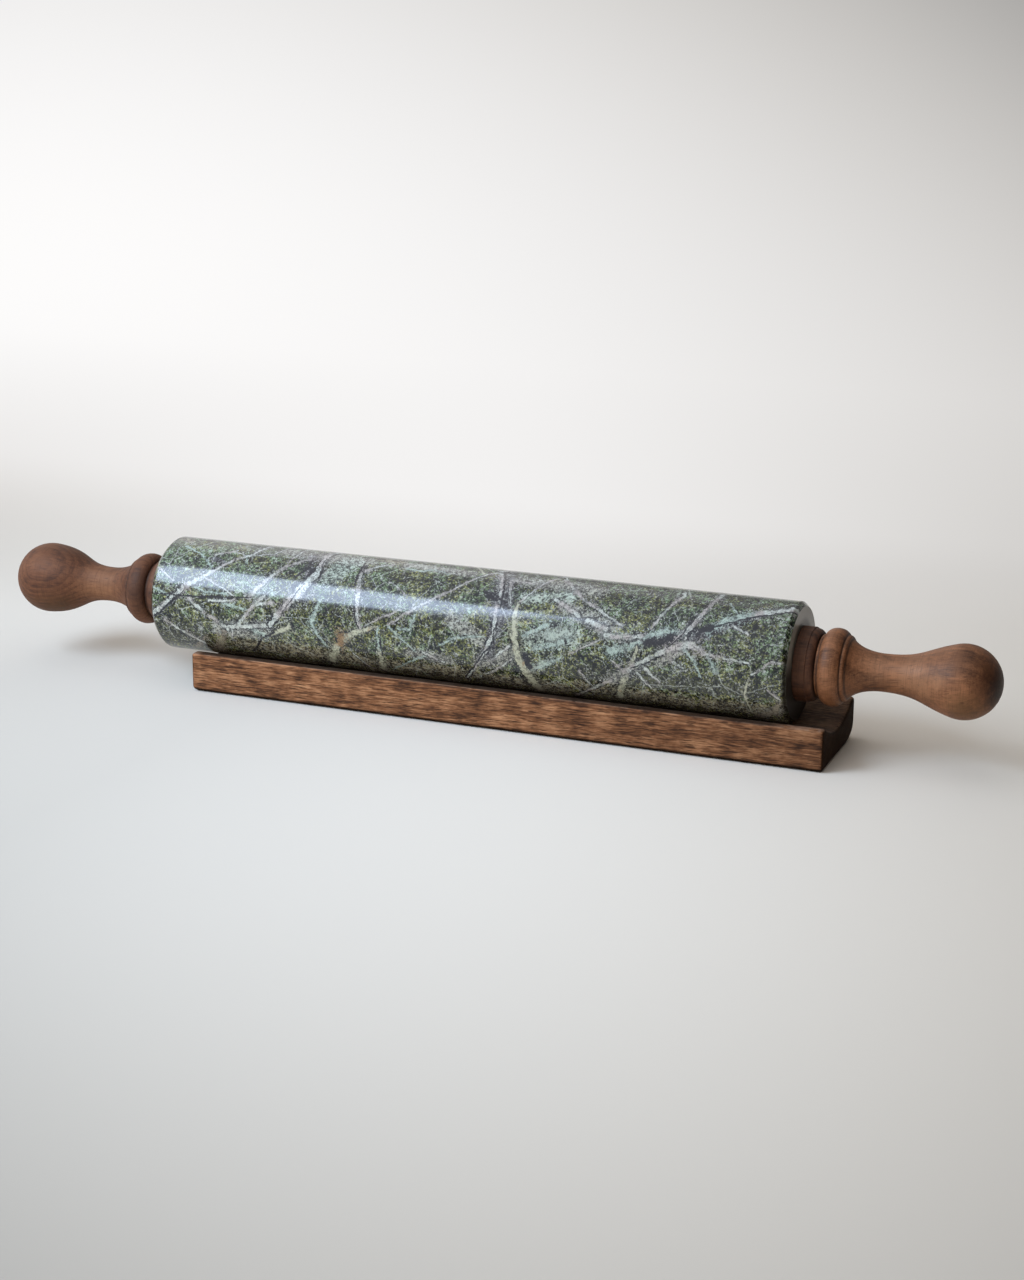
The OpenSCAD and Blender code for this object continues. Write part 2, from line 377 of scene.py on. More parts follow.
def buildLight():
    lamp = bpy.data.lights.new("keySoftbox", "AREA")
    lamp.shape = "RECTANGLE"
    lamp.size, lamp.size_y = studio["keySize"]
    lamp.energy, lamp.color = studio["keyPower"], studio["keyColour"]
    softbox = bpy.data.objects.new("keySoftbox", lamp)
    softbox.location = studio["keyPlace"]
    aim = Vector((0, 0, axisHeight)) - softbox.location
    softbox.rotation_euler = aim.to_track_quat("-Z", "Y").to_euler()
    bpy.context.scene.collection.objects.link(softbox)

    # a room that is bright on the softbox's side and dark on the other
    world = bpy.data.worlds.new("softRoom")
    bpy.context.scene.world = world
    world.use_nodes = True
    way = newNode(world.node_tree, "TexCoord").outputs["Generated"]
    seen = newNode(world.node_tree, "LightPath").outputs["Is Camera Ray"]
    bright = spread(doVector("DOT_PRODUCT", way, Vector(studio["brightSide"]).normalized()), -0.15, 0.95)
    colour = mixColour(bright, studio["darkColour"], studio["brightColour"])
    level = mixValue(bright, studio["darkLevel"], studio["brightLevel"])
    feedAll(world.node_tree.nodes["Background"].inputs,
            Color=mixColour(seen, colour, studio["backColour"]), Strength=mixValue(seen, level, 1.0))


buildFloor()
buildLight()
bpy.context.scene.view_settings.view_transform = "Standard"
print("studio set")


# green marble

marble = {
    "far": 9.0,
    "grain": 1.1 * mm,
    "crystal": 0.5 * mm,
    "darkGrain": (0.004, 0.006, 0.009),
    "deepGreen": (0.022, 0.030, 0.021),
    "olive": (0.083, 0.099, 0.040),
    "leafGreen": (0.188, 0.216, 0.089),
    "paleGrain": (0.46, 0.50, 0.37),
    # tints of painted light: cool from above, and warm from the floor on some cells
    "coolLightTint": (0.76, 0.95, 1.06),
    "warmCellsAndBounceTint": (1.12, 1.02, 0.68),
    "white": (0.60, 0.66, 0.66),
    "cyan": (0.45, 0.57, 0.55),
    "cream": (0.48, 0.50, 0.40),
    "rust": (0.29, 0.18, 0.09),
    "dark": (0.014, 0.015, 0.022),
    "lilac": (0.47, 0.45, 0.46),
    "shadow": (0.045, 0.050, 0.034),
    "violet": (0.11, 0.108, 0.140),
    "mint": (0.40, 0.48, 0.45),
    "ash": (0.36, 0.37, 0.36),
    "tan": (0.30, 0.27, 0.22),
    "ground": (0.52, 0.52, 0.50),
    # the dark of the painted shade on the end faces and the bevel
    "paintedShade": (0.014, 0.010, 0.008),
    # how the stone is pushed about: the size of the blotches and how far they move it
    "drifts": ((11 * mm, 1.6 * mm), (2.4 * mm, 1.6 * mm), (0.9 * mm, 0.8 * mm)),
    # hairlines: the size of their net, their share of it as width, and how rare they are
    "hairs": ((31 * mm, 0.010, 0.44), (12 * mm, 0.018, 0.47), (5 * mm, 0.035, 0.50)),
    "bevel": 1.8,
    "steps": 256,
}

# A route is a vein's width in mm at its two ends, and then its places on the barrel's skin as
# (mm along X, degrees from the top towards the front). Those with large angles below nought lie on the
# back, which the photograph doesn't show, and are in the same manner. The kinds are drawn in this order.
# Solid is how well a kind covers, line how dark the line beside it is, parting how far its strands part.
veins = {
    "ash": {"solid": 0.8, "line": 0.3, "parting": 0.5, "routes": [
        (3.0, 2.6, (72, 112), (79, 100)),
    ]},
    "tan": {"solid": 0.8, "line": 0.4, "parting": 0.4, "routes": [
        (1.2, 2.0, (-120, 121), (-127, 140)), (2.0, 4.0, (-109, 110), (-112, 124), (-116, 140)),
        (2.2, 3.2, (143, 118), (141, 130), (134, 140)),
    ]},
    "mint": {"solid": 0.9, "line": 0.3, "parting": 0.3, "routes": [
        (3.6, 3.2, (44, 74), (53, 72)),
    ]},
    "cyan": {"solid": 0.88, "line": 0.5, "parting": 0.6, "routes": [
        (0.8, 0.6, (-146, 71), (-140, 75), (-135, 80)), (1.4, 2.4, (-97, 101), (-89, 109)),
        (0.9, 0.5, (-136, 19), (-126, 29), (-118, 44)), (0.7, 0.4, (-104, 27), (-102, 36)),
        (0.9, 0.8, (-125, 66), (-118, 71), (-106, 70)), (1.7, 1.0, (-109, 78), (-102, 82), (-97, 84)),
        (1.6, 2.0, (-96, 69), (-86, 66)), (1.1, 1.8, (-61.5, 66), (-64, 78), (-65, 90)),
        (1.5, 0.8, (-65, 90), (-63, 100), (-59, 113)), (0.8, 1.5, (-34, 86), (-33.5, 114)),
        (0.6, 0.8, (16, 82), (3, 87), (-5, 96)), (1.6, 1.2, (43, 65), (33, 78)), (1.2, 2.0, (54, 76), (39, 88)),
        (0.9, 1.6, (50, 95), (36, 112)), (0.9, 0.7, (-29, 83), (-17, 105)),
        (0.6, 0.9, (-17, 69), (-19, 85), (-24, 85)), (0.6, 0.6, (-28, 18), (-20, 19), (-15, 13), (-8, 20)),
        (0.5, 0.8, (-30, 137), (-21, 121), (-12, 110)), (3.2, 2.4, (72, 82), (79, 77), (85, 70)),
        (2.6, 2.6, (85, 70), (90, 62), (95, 58)), (2.6, 1.6, (95, 58), (103, 59)),
        (1.5, 2.8, (112, 55), (119, 41)), (2.8, 2.6, (119, 41), (125, 34), (130, 29)),
        (1.2, 0.5, (103, 73), (108, 83), (111, 98)), (1.2, 1.1, (113, 75), (117, 91)),
        (0.5, 0.4, (117, 18), (122, 31)), (0.8, 1.2, (-38, -70), (-14, -56), (20, -76), (44, -60)),
        (1.4, 0.8, (-130, -96), (-112, -136)),
    ]},
    "cream": {"solid": 0.97, "line": 0.8, "parting": 0.35, "routes": [
        (2.2, 1.6, (-76, 96), (-86, 107)), (1.0, 2.8, (-35, 86), (-43, 92), (-50, 102)),
        (2.8, 3.2, (-54, 112), (-59, 135)), (1.6, 3.2, (-33.5, 114), (-34.5, 142)),
        (1.2, 0.9, (-2, -15), (8, 14)), (0.7, 2.0, (28.5, 44), (28, 60)),
        (2.0, 3.0, (28, 60), (29, 80), (31, 100)), (3.2, 4.2, (31, 100), (34, 115), (38, 142)),
        (1.2, 1.5, (83, 76), (82, 88), (79, 105)), (2.6, 2.6, (78, 108), (76, 120), (74, 138)),
        (0.7, 0.8, (131, 95), (129, 110), (131, 132)), (2.2, 3.0, (-2, -15), (-12, -52), (-6, -96), (12, -150)),
    ]},
    "rust": {"solid": 0.85, "line": 0.2, "parting": 0.4, "routes": [
        (3.0, 2.4, (-51.5, 100), (-52, 108)),
    ]},
    "dark": {"solid": 0.95, "line": 0.0, "parting": 0.0, "routes": [
        (2.2, 2.0, (-46.5, 21), (-46.5, 31)), (3.4, 4.2, (13, 41), (19, 42)), (3.0, 2.2, (34, 97), (36, 109)),
        (4.2, 4.6, (87, 71), (92, 70), (98, 64)), (3.6, 3.4, (105, 57), (113, 50)),
        (1.6, 2.6, (52, -70), (74, -96), (92, -142)),
    ]},
    "white": {"solid": 0.95, "line": 0.8, "parting": 0.65, "routes": [
        (1.6, 1.0, (-98, 0), (-102, 22), (-109, 33), (-116, 47)),
        (1.2, 2.1, (-116, 47), (-121, 56), (-130, 70)), (0.7, 0.5, (-145, 49), (-135, 63)),
        (1.2, 1.5, (-126, 79), (-118, 91)), (1.1, 1.7, (-116, 94), (-107, 106)),
        (1.1, 1.4, (-139, 104), (-132, 114), (-122, 130)),
        (1.0, 1.7, (-74, 19), (-83, 34), (-90, 52), (-96, 71)), (1.4, 0.5, (-80, -5), (-83, 32)),
        (1.7, 1.2, (-89, 68), (-94, 79), (-104, 105)), (1.3, 2.2, (-108, 105), (-95, 100), (-86, 98)),
        (0.8, 0.8, (-105, 106), (-106, 121)), (0.9, 0.6, (-119, 28), (-111, 19), (-104, 26)),
        (0.7, 0.7, (-103, 25), (-92, 16), (-86, -15)), (1.0, 0.7, (-116, 79), (-103, 75)),
        (0.7, 0.6, (-119, 57), (-104, 71)), (1.5, 1.2, (-92, 77), (-85, 74)), (1.4, 1.7, (-47, 33), (-45, 55)),
        (1.8, 0.6, (-45, 28), (-41, 19), (-35, 12)), (0.8, 1.0, (8, 15), (-4, 43), (-15, 60)),
        (1.0, 0.7, (-15, 60), (-29, 82)), (0.7, 0.5, (-24, 66), (-41, 87)), (0.6, 1.0, (8, 14), (15, 1)),
        (1.3, 1.5, (13, 0), (17, 20), (19.5, 39)), (1.0, 0.8, (21, 21), (25, 47)),
        (0.7, 0.9, (29, 45), (34, 26), (42, -4)), (0.9, 0.4, (42, -3), (51, 27)),
        (0.6, 0.4, (21, 18), (31, 20), (35, 16)), (0.9, 1.0, (-13, 106), (-4, 115)),
        (0.4, 0.4, (-32, 39), (-23, 51)), (0.5, 0.6, (-47, 117), (-40, 142)), (1.2, 1.6, (44, 38), (56, 53)),
        (0.8, 0.8, (27, 89), (18, 107)), (0.6, 0.8, (28, 102), (15, 125)),
        (1.0, 1.2, (43, 6), (55, 33), (66, 47)), (1.2, 0.6, (66, 47), (76, 58)), (1.8, 2.2, (60, 57), (69, 63)),
        (1.6, 1.4, (69, 69), (79, 68), (85, 65)), (1.2, 1.0, (54, 143), (66, 121), (72, 112)),
        (2.4, 1.4, (79, 100), (86, 90), (92, 81)), (1.8, 2.8, (92, 81), (97, 74), (105, 68)),
        (2.8, 2.2, (105, 68), (112, 75)), (1.3, 0.7, (112, 75), (120, 77), (131, 79)),
        (1.9, 1.2, (112, 0), (112, 7), (109, 30)), (1.1, 0.9, (102, 58), (95, 76)),
        (2.6, 3.2, (130, 29), (137, 24), (146, 15)), (1.4, 0.7, (96, 4), (97, 15), (93, 34), (88, 57)),
        (0.8, 0.8, (73, 92), (78, 102)), (1.1, 0.7, (86, 94), (93, 108)), (0.9, 0.7, (83, 100), (89, 116)),
        (1.3, 1.0, (98, 84), (103, 91)), (0.7, 0.7, (58, 106), (63, 123)), (0.5, 0.6, (54, 90), (67, 73)),
        (0.6, 0.7, (145, 76), (140, 75), (132, 89)), (0.9, 0.7, (139, 103), (144, 111)),
        (1.2, 0.8, (122, 46), (129, 53)), (1.2, 1.4, (-98, 0), (-84, -48), (-79, -92), (-60, -140)),
        (0.8, 1.8, (42, -4), (66, -44), (100, -70), (128, -122)), (1.2, 0.5, (112, 0), (122, -34), (144, -58)),
        (0.9, 0.7, (-144, -40), (-120, -66), (-104, -118)),
    ]},
    "cracked": {"solid": 0.97, "line": 1.0, "parting": 0.95, "routes": [
        (1.9, 1.5, (-130, 70), (-137, 86), (-146, 101)), (2.6, 2.4, (-68, 3), (-67, 37)),
        (2.8, 4.4, (-67, 37), (-73, 62)), (4.0, 1.4, (-73, 62), (-80, 80), (-86, 98)),
        (1.7, 1.2, (-45, 55), (-44, 75), (-42, 88)), (1.3, 1.7, (19.5, 52), (19.8, 78), (16, 97)),
        (1.6, 0.8, (16, 97), (5, 135)), (1.3, 2.2, (109, 30), (107, 42), (103, 56)),
        (2.6, 1.2, (-68, 3), (-58, -34), (-38, -70), (-30, -118)),
        (1.4, 2.2, (13, 0), (24, -30), (48, -66), (56, -124)),
    ]},
    "crack": {"solid": 0.95, "line": 0.0, "parting": 0.0, "routes": [
        (0.5, 0.7, (-129, 72), (-133, 80), (-141, 97)), (0.6, 1.2, (-146, 78), (-126, 77), (-110, 74)),
        (1.1, 0.4, (-110, 74), (-95, 71)), (0.5, 0.4, (-134.5, 55), (-131, 59)),
        (1.2, 1.1, (-84, 104), (-91, 114), (-97, 133)), (0.8, 1.1, (-73, 20), (-72, 30), (-76, 45)),
        (1.8, 1.4, (-70.5, 33), (-70.5, 42)), (0.6, 0.6, (-68.5, 14), (-69, 28)),
        (0.5, 0.7, (-66.5, 15), (-67, 27), (-64.5, 32), (-65, 41)), (0.5, 0.4, (-71, 50), (-75, 66), (-80, 84)),
        (0.9, 0.9, (-48, 14), (-48, 30), (-47.8, 46)), (0.4, 0.7, (-46, 62), (-45.3, 72), (-43, 88)),
        (0.9, 0.7, (-32.6, 99), (-32.6, 117)), (0.8, 0.8, (15, 2), (18.5, 19), (20.5, 40)),
        (0.8, 0.5, (20.5, 40), (21.2, 53)), (0.5, 0.9, (20.6, 68), (19, 89), (14.5, 102)),
        (0.9, 0.6, (14.5, 102), (4, 135)), (0.5, 0.5, (27.5, 108), (33, 132)), (0.7, 0.5, (33, 97), (35, 110)),
        (1.0, 1.0, (38.5, 80), (38.6, 82)), (1.0, 1.0, (42.5, 79), (42.6, 81)),
        (1.1, 1.1, (52, 77), (52.2, 79)), (0.6, 0.6, (-9, 34), (-17, 48)),
        (0.6, 0.7, (105, 44), (101.6, 60), (96, 73)), (0.8, 0.9, (113, 51), (120, 43), (128, 35)),
        (0.9, 0.7, (128, 35), (137, 27), (146, 19)), (0.5, 0.4, (81, 97), (88, 90), (95, 80)),
        (0.9, 0.5, (-57, -36), (-37, -72), (-29, -118)), (0.6, 0.9, (25, -30), (49, -66), (57, -124)),
    ]},
}

# soft stains round and between the veins, with a painted shadow low on the front and painted light along the
# underside, and how strong each kind is at most
stains = {
    "shadow": {"most": 0.75, "routes": [
        (22, 16, (-146, 118), (-120, 126)), (12, 8, (60, 108), (140, 106)),
    ]},
    "tan": {"most": 0.68, "routes": [
        # the five tan routes along the underside are painted light thrown up from the floor
        (7, 9, (-44, -2), (-34, 4)), (6, 5, (-142, 0), (-136, 8)), (9, 12, (-104, 124), (-42, 127)),
        (9, 11, (-36, 129), (8, 127)), (8, 9, (14, 130), (50, 132)), (9, 11, (58, 126), (104, 130)),
        (9, 9, (112, 129), (142, 127)),
    ]},
    "ash": {"most": 0.75, "routes": [
        (9, 12, (-112, 108), (-90, 104)), (11, 9, (15, 108), (27, 98)), (6, 7, (-20, 108), (-2, 112)),
        (8, 10, (48, 44), (70, 62)), (5, 6, (92, 90), (104, 70)), (6, 8, (136, 136), (145, 122)),
        (10, 14, (-86, 8), (-50, 12)), (7, 6, (-28, 9), (2, 14)), (9, 12, (24, 18), (60, 22)),
        (9, 8, (0, 70), (14, 86)), (8, 12, (-84, -60), (-78, -96)),
    ]},
    "mint": {"most": 0.75, "routes": [
        (14, 13, (-60, 40), (-54, 16)), (7, 9, (30, 40), (50, 32)), (9, 12, (36, 80), (54, 74)),
        (5, 6, (68, 68), (86, 68)), (5, 4, (36, 110), (46, 98)), (9, 7, (74, -50), (100, -74)),
    ]},
    "violet": {"most": 0.8, "routes": [
        (12, 16, (17, 2), (22, 55)), (12, 6, (22, 55), (18, 98)), (5, 3, (86, 69), (114, 54), (143, 16)),
        (6, 5, (-74, 14), (-70, 46)), (4, 3, (-119, 33), (-113, 38)), (6, 5, (104, 62), (112, 58)),
        (9, 7, (26, -34), (48, -66)),
    ]},
}


def onSkin(x, angle):
    # the barrel's skin rolled out flat, with the seam under the pin
    return Vector((x * mm, barrelRadius * radians(angle), 0))


def rolledOut(place):
    x, y, z = splitVector(place)
    angle = doMath("ARCTAN2", times(y, -1.0), z)
    return joinVector(x, times(angle, barrelRadius), 0.0)


def buildStroke():
    # Carried holds a point of the skin and, as its Z, how far it lies from the nearest leg so far, in that
    # leg's half widths. Each leg passes it on, so that they are worked out one after another.
    group, given, out = newGroup(
        "veinStroke", {"Carried": "Vector", "Start": "Vector", "Back": "Vector", "Run": "Vector",
                       "HalfWidth": "Float", "Growth": "Float"}, {"Carried": "Vector"})
    flat = doVector("MULTIPLY", given["Carried"], (1, 1, 0))
    offset = doVector("SUBTRACT", flat, given["Start"])
    back = doVector("DOT_PRODUCT", offset, given["Back"])
    back = addNode("Clamp", {"Value": back, "Min": -1.0, "Max": 0.0}).outputs[0]
    away = doVector("LENGTH", doVector("MULTIPLY_ADD", given["Run"], back, offset))
    half = timesPlus(back, given["Growth"], given["HalfWidth"])
    limit = joinVector(marble["far"], marble["far"], over(away, half))
    feed(out["Carried"], doVector("MINIMUM", given["Carried"], limit))
    return group


def drawRoutes(stroke, carried, routes):
    # starts with nothing near, and gives the nearest leg's ratio and the point for the next kind
    carried = doVector("MULTIPLY_ADD", carried, (1, 1, 0), (0, 0, marble["far"]))
    for firstWidth, lastWidth, *places in routes:
        places = [onSkin(*place) for place in places]
        first, last = firstWidth / 2 * mm, lastWidth / 2 * mm
        growth = (first - last) / (len(places) - 1)
        for index, (start, end) in enumerate(zip(places, places[1:])):
            run = end - start
            carried = useGroup(stroke, Carried=carried, Start=start, Back=-run / run.length_squared,
                               Run=run, HalfWidth=first - growth * index, Growth=growth)["Carried"]
    return splitVector(carried)[2], carried


def buildStoneGround():
    # packed crystals in two sizes, each with a tone of its own
    group, given, out = newGroup(
        "stoneGround", {"Place": "Vector"},
        {"Colour": "Color", "Tone": "Float", "Chance": "Float", "Crystal": "Vector"})
    place = given["Place"]
    moved = drifted(place, noise(place, 0.8 * mm, 3, 0.7, output="Color"), 1.0 * mm)
    grains = cells(moved, marble["grain"])
    crystals = cells(moved, marble["crystal"])
    grainTone = splitVector(grains["Color"])[0]
    crystalTone, chance, spare = splitVector(crystals["Color"])
    speck = noise(place, 0.32 * mm, 3, 0.75)
    tone = timesPlus(grainTone, 0.30, times(crystalTone, 0.40))
    tone = timesPlus(spread(speck, 0.30, 0.70, soft=False), 0.30, tone)
    patch = noise(place, 22 * mm, 3, 0.6)
    drift = noise(place, 4.0 * mm, 4, 0.7)
    tone = plus(tone, timesPlus(patch, 0.36, -0.18))
    tone = plus(tone, timesPlus(drift, 0.80, -0.40))
    colour = ramp(tone, [
        (0.35, marble["darkGrain"]), (0.48, marble["deepGreen"]), (0.59, marble["olive"]),
        (0.71, marble["leafGreen"]), (0.88, marble["paleGrain"])])
    # painted cool light: bluer towards the side that lies on top in the photograph; below, some cells get a
    # painted warm light from the floor
    cool = spread(timesPlus(splitVector(place)[2], 3.2, noise(place, 8 * mm, 3, 0.6)), 0.49, 0.62)
    colour = mixColour(cool, colour, mixColour(1.0, colour, marble["coolLightTint"], "MULTIPLY"))
    warm = times(spread(spare, 0.4, 0.6), minus(1.0, cool))
    colour = mixColour(warm, colour, mixColour(1.0, colour, marble["warmCellsAndBounceTint"], "MULTIPLY"))
    feedAll(out, Colour=colour, Tone=tone, Chance=chance, Crystal=crystals["Position"])
    return group


def darkBetween(ratio, braid, parting):
    # dark lines that run along inside a vein
    strand = absolute(minus(doMath("FRACT", timesPlus(ratio, 1.7, braid)), 0.5))
    return minus(1.0, spread(strand, 0.04, 0.17, parting, 0.0))


def buildMarble():
    material, shader, place = newMaterial("greenMarble", IOR=1.55, Specular_Tint=(0.84, 0.88, 1.0, 1.0))
    local = centred(place)
    warped = local
    for size, amount in marble["drifts"]:
        warped = drifted(warped, noise(local, size, 3, 0.65, output="Color"), amount)
    ground = useGroup(buildStoneGround(), Place=warped)
    colour, tone, chance = ground["Colour"], ground["Tone"], ground["Chance"]
    # veins keep partly to the crystals' own edges
    snapped = mixVector(0.35, warped, ground["Crystal"])
    skin = rolledOut(snapped)
    stroke = buildStroke()
    breakup = spread(noise(local, 2.2 * mm, 4, 0.75), 0.30, 0.64, 0.40, 1.40, soft=False)
    beads = spread(noise(local, 9 * mm, 2), 0.40, 0.60)
    faint = spread(noise(local, 3.0 * mm, 3, 0.6), 0.36, 0.52, 0.35, 1.0)
    braid = times(noise(local, 3.5 * mm, 3, 0.6), 4.0)
    uneven = timesPlus(chance, 0.45, timesPlus(tone, -0.45, 0.0))

    for kind, stain in stains.items():
        ratio, skin = drawRoutes(stroke, skin, stain["routes"])
        reach = spread(ratio, 0.2, 1.3, 1.0, 0.0)
        picked = spread(plus(reach, chance), 0.80, 1.05, 0.0, stain["most"])
        deep, pale = ([share * part for part in marble[kind]] for share in (0.12, 1.3))
        colour = mixColour(picked, colour, mixColour(spread(tone, 0.34, 0.72), deep, pale))

    # hairlines that fill the stone everywhere
    hairs = []
    for size, width, low in marble["hairs"]:
        edge = cells(snapped, size, "DISTANCE_TO_EDGE")["Distance"]
        where = spread(noise(local, size * 0.7, 2), low, low + 0.12)
        hairs.append(times(spread(edge, 0.0, width, 1.0, 0.0), where))
    hair = larger(larger(hairs[0], hairs[1]), hairs[2])
    colour = mixColour(times(hair, times(breakup, 0.52)), colour, marble["white"])

    for kind, vein in veins.items():
        ratio, skin = drawRoutes(stroke, skin, vein["routes"])
        ratio = plus(over(ratio, breakup), uneven)
        body = spread(ratio, 0.86, 1.06, vein["solid"], 0.0)
        if kind in ("white", "cyan"):
            # the finer veins fade in and out
            body = times(body, faint)
        inside = spread(tone, 0.20, 0.66, 0.30, 1.12)
        if vein["parting"]:
            inside = times(inside, darkBetween(ratio, braid, vein["parting"]))
        tint = marble[{"cracked": "white", "crack": "dark"}.get(kind, kind)]
        if tint == marble["white"]:
            tint = mixColour(beads, marble["lilac"], tint)
        shade = mixColour(inside, marble["dark"], tint)
        if kind == "cream":
            rusty = spread(noise(local, 7 * mm, 3, 0.6), 0.58, 0.68, 0.0, 0.8)
            shade = mixColour(rusty, shade, marble["rust"])
        if vein["line"]:
            # loose crystals round the vein, and the dark line beside it
            loose = spread(ratio, 1.0, 4.5, 0.46, 0.0)
            loose = spread(plus(loose, chance), 0.95, 1.10, 0.0, 0.6)
            beside = times(spread(ratio, 0.95, 1.15), spread(ratio, 1.7, 3.0, vein["line"], 0.0))
            beside = times(beside, timesPlus(beads, 0.6, 0.4))
            colour = mixColour(loose, colour, tint)
            colour = mixColour(beside, colour, marble["dark"])
        colour = mixColour(body, colour, shade)

    # the end faces are ground flat and left grey
    x, y, z = splitVector(local)
    endMask = spread(absolute(x), halfLength - 0.03 * mm, halfLength - 0.01 * mm)
    streaks = noise(centred(place, stretch=(1, 1, 0.12)), 1.1 * mm, 4, 0.7)
    groundFace = mixColour(streaks, [0.6 * part for part in marble["ground"]], marble["ground"])
    # painted shade darkens them round the collar and below it
    groundFace = mixColour(0.95, colour, groundFace)
    fromAxis = distance(y, z)
    paintedShade = larger(spread(fromAxis, 16.5 * mm, 20 * mm, 0.7, 0.0), spread(z, -2 * mm, 12 * mm, 0.94, 0.0))
    groundFace = mixColour(paintedShade, groundFace, marble["paintedShade"])
    colour = mixColour(endMask, colour, groundFace)
    # painted shade makes the bevel dark and dull on its low side
    bevel = times(spread(absolute(x), halfLength - 1.7 * mm, halfLength - 0.7 * mm),
                  spread(fromAxis, barrelRadius - 2.2 * mm, barrelRadius - 1.6 * mm))
    bevel = times(bevel, spread(z, 4 * mm, 18 * mm, 1.0, 0.0))
    colour = mixColour(times(bevel, 0.85), colour, marble["paintedShade"])
    polish = spread(noise(local, 1.0 * mm, 3), 0.3, 0.7, 0.11, 0.19)
    # the painted shade is dull as well
    paintedShadeMask = larger(bevel, times(endMask, paintedShade))
    feedAll(shader, Base_Color=colour, Roughness=mixValue(endMask, polish, 0.36),
            Specular_IOR_Level=mixValue(paintedShadeMask, 0.53, 0.05), Normal=bump(tone, 0.008 * mm, 0.5))
    return material


def buildBarrel():
    length, radius, bevel = halfLength / mm, barrelRadius / mm, marble["bevel"]
    bushLow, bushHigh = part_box("right_bush")
    seatRadius = (bushHigh.z - bushLow.z) / 2 / mm
    seatStart = bushLow.x / mm
    boreRadius = 6.0
    rim = []
    for index in range(7):
        angle = radians(45 * index / 6)
        rim.append((length - bevel + 0.6 * sin(angle) - 0.35, radius - 0.6 * (1 - cos(angle))))
    rim += [(length - 0.25, radius - bevel + 0.2), (length, radius - bevel - 0.05)]
    half = [(0, radius)] + [(length * part, radius) for part in (0.25, 0.5, 0.75, 0.95)] + rim
    half += [(length, seatRadius), (seatStart, seatRadius), (seatStart, boreRadius), (0, boreRadius)]
    outline = half + [(-x, r) for x, r in reversed(half[:-1])]
    piece = turnOnLathe("marble_barrel_polished", outline, marble["steps"])
    smooth(piece, 30)
    finishPiece(piece, "marble_barrel", "barrel", buildMarble())


buildBarrel()


# wood that is shared by the handles, the collars and the cradle

def buildWoodGrain():
    # growth rings round the local X axis, streaks, fibres and pores along it
    group, given, out = newGroup(
        "woodGrain", {"Place": "Vector", "RingWidth": "Float", "RingWaver": "Float", "StreakLength": "Float",
                      "PoreShare": "Float"},
        {"Ring": "Float", "Streak": "Float", "Fibre": "Float", "Pore": "Float", "Cloud": "Float"})
    place = given["Place"]
    wavy = drifted(place, noise(place, 24 * mm, 2, output="Color"), given["RingWaver"])
    x, y, z = splitVector(wavy)
    saw = doMath("FRACT", over(distance(y, z), given["RingWidth"]))
    x, y, z = splitVector(place)
    short = joinVector(over(x, given["StreakLength"]), y, z)
    thin = joinVector(over(x, 18.0), y, z)
    slots = noise(thin, 0.42 * mm, 2, 0.5)
    edge = minus(0.74, given["PoreShare"])
    feedAll(out, Ring=times(spread(saw, 0.0, 0.8), spread(saw, 0.9, 1.0, 1.0, 0.0)),
            Streak=noise(short, 1.1 * mm, 5, 0.66, 0.3), Fibre=noise(thin, 0.45 * mm, 4, 0.65),
            Pore=spread(slots, edge, plus(edge, 0.07)), Cloud=noise(place, 11 * mm, 3, 0.6))
    return group


woodGrain = buildWoodGrain()

# A patch is a colour patch, some of the wood's own figure and some painted light and shade as marked: where it
# lies and its size in mm, its colour, and how strong it is.
turnedWood = {
    "left": {
        "light": (0.180, 0.073, 0.035), "middle": (0.110, 0.040, 0.019), "dark": (0.040, 0.015, 0.009),
        "centre": (-225, 28.4, -27.6), "turn": (0, 0, -5), "creases": [9.6, 19.0, 21.0],
        "ringWidth": 1.7 * mm, "rings": 0.09,
        "rough": (0.58, 0.72), "patches": [
            ((-210.5, -11.4, 48.2), 6.0, "light", 0.45),
            ((-200, 0, 50), 10, "dark", 0.35),
            # painted shade with the floor's warm light, low on the knob
            ((-204, -9, 27), 12, "amber", 0.80),
            ((-182, -7, 38), 14, "tan", 0.42),
            ((-158, -12, 40), 15, "dark", 0.75),
            # painted shade with the floor's warm light, low on the knob
            ((-216, -8, 24), 12, "amber", 0.60),
        ],
    },
    "right": {
        "light": (0.330, 0.142, 0.068), "middle": (0.190, 0.079, 0.037), "dark": (0.046, 0.017, 0.009),
        "centre": (190, 30, 24), "turn": (0, 8, 4), "creases": [9.6, 19.0, 21.0],
        "ringWidth": 9.0 * mm, "rings": 0.10,
        "rough": (0.46, 0.60), "patches": [
            ((203, -9, 44.6), 8.0, "dark", 0.32),
            ((198, -11, 36), 9, "tan", 0.65),
            ((205, -13, 39.3), 5.0, "tan", 0.65),
            # the next two are painted shade on the knob's far end
            ((229, -6, 40), 15, "dark", 0.97),
            ((231, -4, 36), 11, "paintedDark", 0.80),
            ((214, -8, 49), 8, "dark", 0.45),
            ((192, -9, 41), 10, "tan", 0.65),
            ((180, -7, 42), 9, "tan", 0.40),
            # painted light thrown up from the floor, low on the knob
            ((216, -13, 28), 11, "honey", 0.50),
        ],
    },
    "collars": {
        "light": (0.150, 0.064, 0.034), "middle": (0.085, 0.035, 0.020), "dark": (0.026, 0.010, 0.007),
        "centre": (0, 24, -14), "turn": (0, 3, 0), "creases": [0.0, 8.4],
        "ringWidth": 3.2 * mm, "rings": 0.12, "rough": (0.5, 0.65), "patches": [],
    },
}
woodShades = {"tan": (0.330, 0.160, 0.084), "honey": (0.210, 0.105, 0.040), "amber": (0.068, 0.028, 0.008),
              # the last is the dark of painted shade, in creases and on shaded ends
              "paintedDark": (0.014, 0.007, 0.005)}


